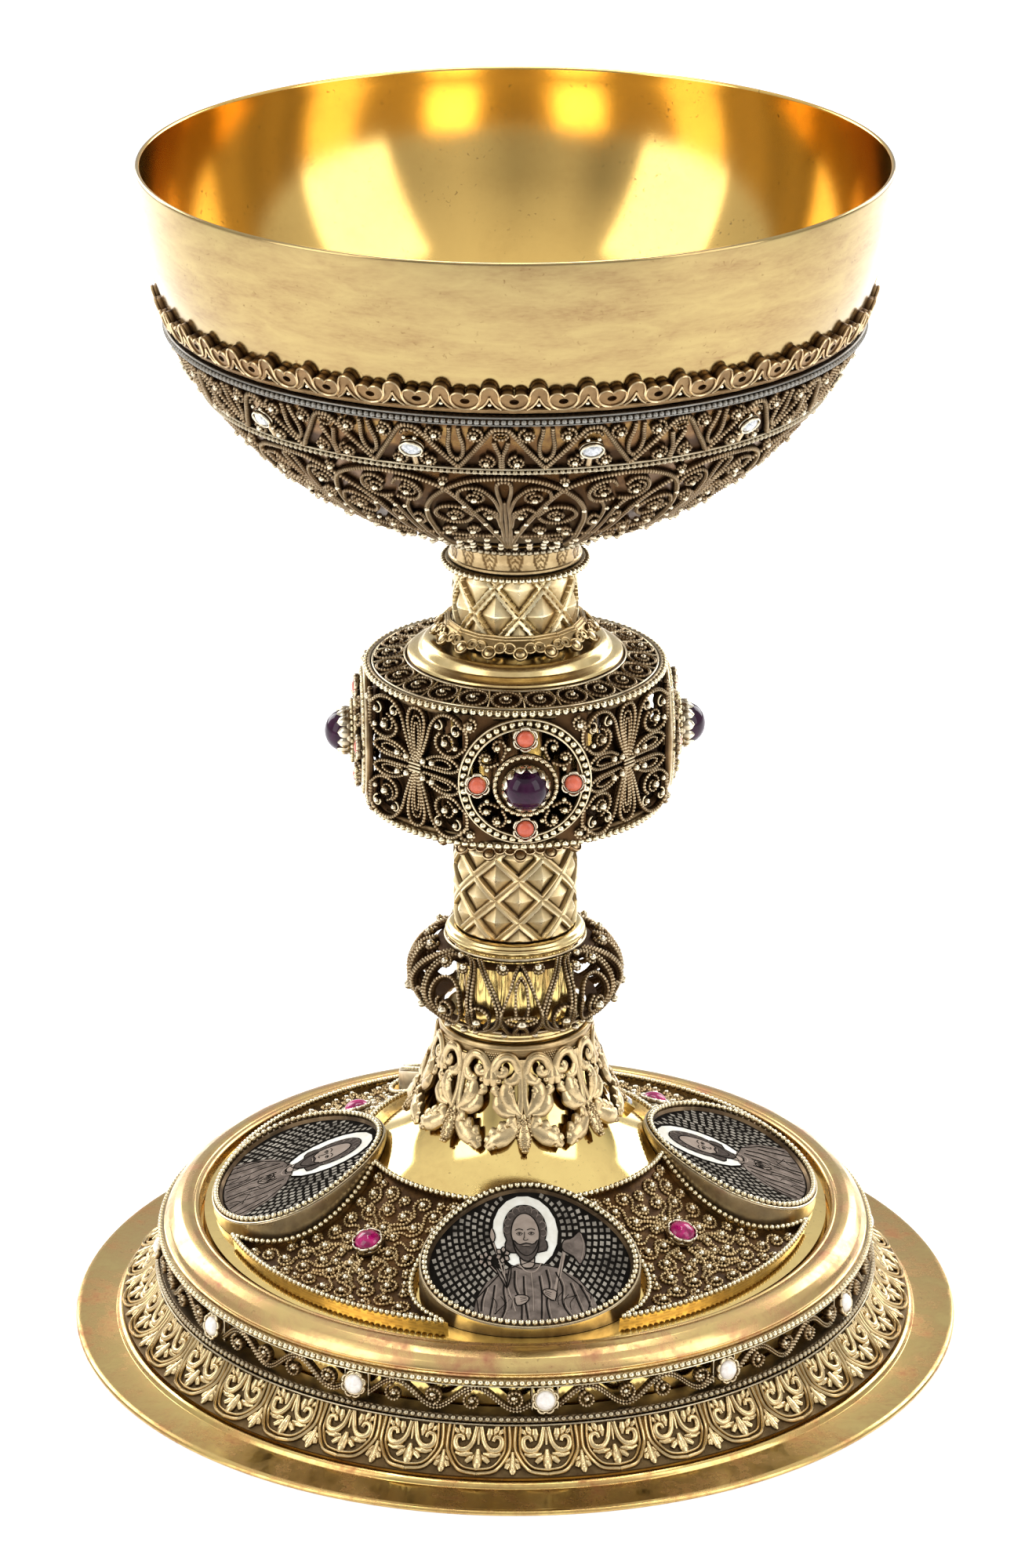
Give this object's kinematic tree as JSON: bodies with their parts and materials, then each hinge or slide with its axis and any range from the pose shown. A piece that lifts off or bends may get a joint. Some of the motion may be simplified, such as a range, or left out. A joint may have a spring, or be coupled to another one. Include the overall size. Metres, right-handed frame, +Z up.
{
  "type": "communion chalice",
  "caption": "Gilt footed cup with a filigree calyx, a round jewelled knop on a sleeved stem, and a spreading foot with oval enamel medallions.",
  "frame": {"origin": "centre of the foot's resting plane", "axes": "+Z up along the stem, -Y towards the front medallion's side"},
  "size_m": [0.1752, 0.1752, 0.2351],
  "materials": {
    "polished_gold": "polished gilding",
    "chased_gold": "chased gilding with dark recesses",
    "filigree": "twisted gilt wire over darkened ground",
    "beads": "pale gilt beaded wire",
    "enamel": "dark glossy enamel with a figure",
    "ruby": "polished cabochon",
    "amethyst": "polished cabochon",
    "steel": "turned steel"
  },
  "bodies": {
    "root": {"amethyst_back": "amethyst", "amethyst_front": "amethyst", "amethyst_left": "amethyst", "amethyst_right": "amethyst", "base_flange": "polished_gold", "calyx_crest": "chased_gold", "calyx_shell": "chased_gold", "clamp_nut": "steel", "collar_bead_ring": "beads", "crest_bead_ring": "beads", "cup": "polished_gold", "enamel_plaque_back": "enamel", "enamel_plaque_front": "enamel", "enamel_plaque_left": "enamel", "enamel_plaque_right": "enamel", "engraved_collar": "chased_gold", "filigree_panel_back_left": "filigree", "filigree_panel_back_right": "filigree", "filigree_panel_front_left": "filigree", "filigree_panel_front_right": "filigree", "foliate_collar": "chased_gold", "foot_body": "polished_gold", "foot_step": "polished_gold", "gallery_band": "filigree", "gallery_bottom_ring": "beads", "gallery_top_ring": "beads", "knop_bottom_bead_ring": "beads", "knop_bottom_plate": "filigree", "knop_cap": "polished_gold", "knop_core": "polished_gold", "knop_drum": "filigree", "knop_medallion_back": "filigree", "knop_medallion_front": "filigree", "knop_medallion_left": "filigree", "knop_medallion_right": "filigree", "knop_top_bead_ring": "beads", "knop_top_plate": "filigree", "lower_bead_ring": "beads", "lower_filigree_band": "filigree", "lower_fringe": "chased_gold", "lower_sleeve": "chased_gold", "lower_stem_ring": "polished_gold", "medallion_frame_back": "chased_gold", "medallion_frame_front": "chased_gold", "medallion_frame_left": "chased_gold", "medallion_frame_right": "chased_gold", "middle_bead_ring": "beads", "neck_washer": "steel", "palmette_band": "chased_gold", "ruby_back_left": "ruby", "ruby_back_right": "ruby", "ruby_front_left": "ruby", "ruby_front_right": "ruby", "small_knop": "filigree", "small_knop_core": "polished_gold", "tie_rod": "steel", "trumpet_ring": "polished_gold", "upper_filigree_band": "filigree", "upper_fringe": "chased_gold", "upper_sleeve": "chased_gold"}
  },
  "joints": []
}
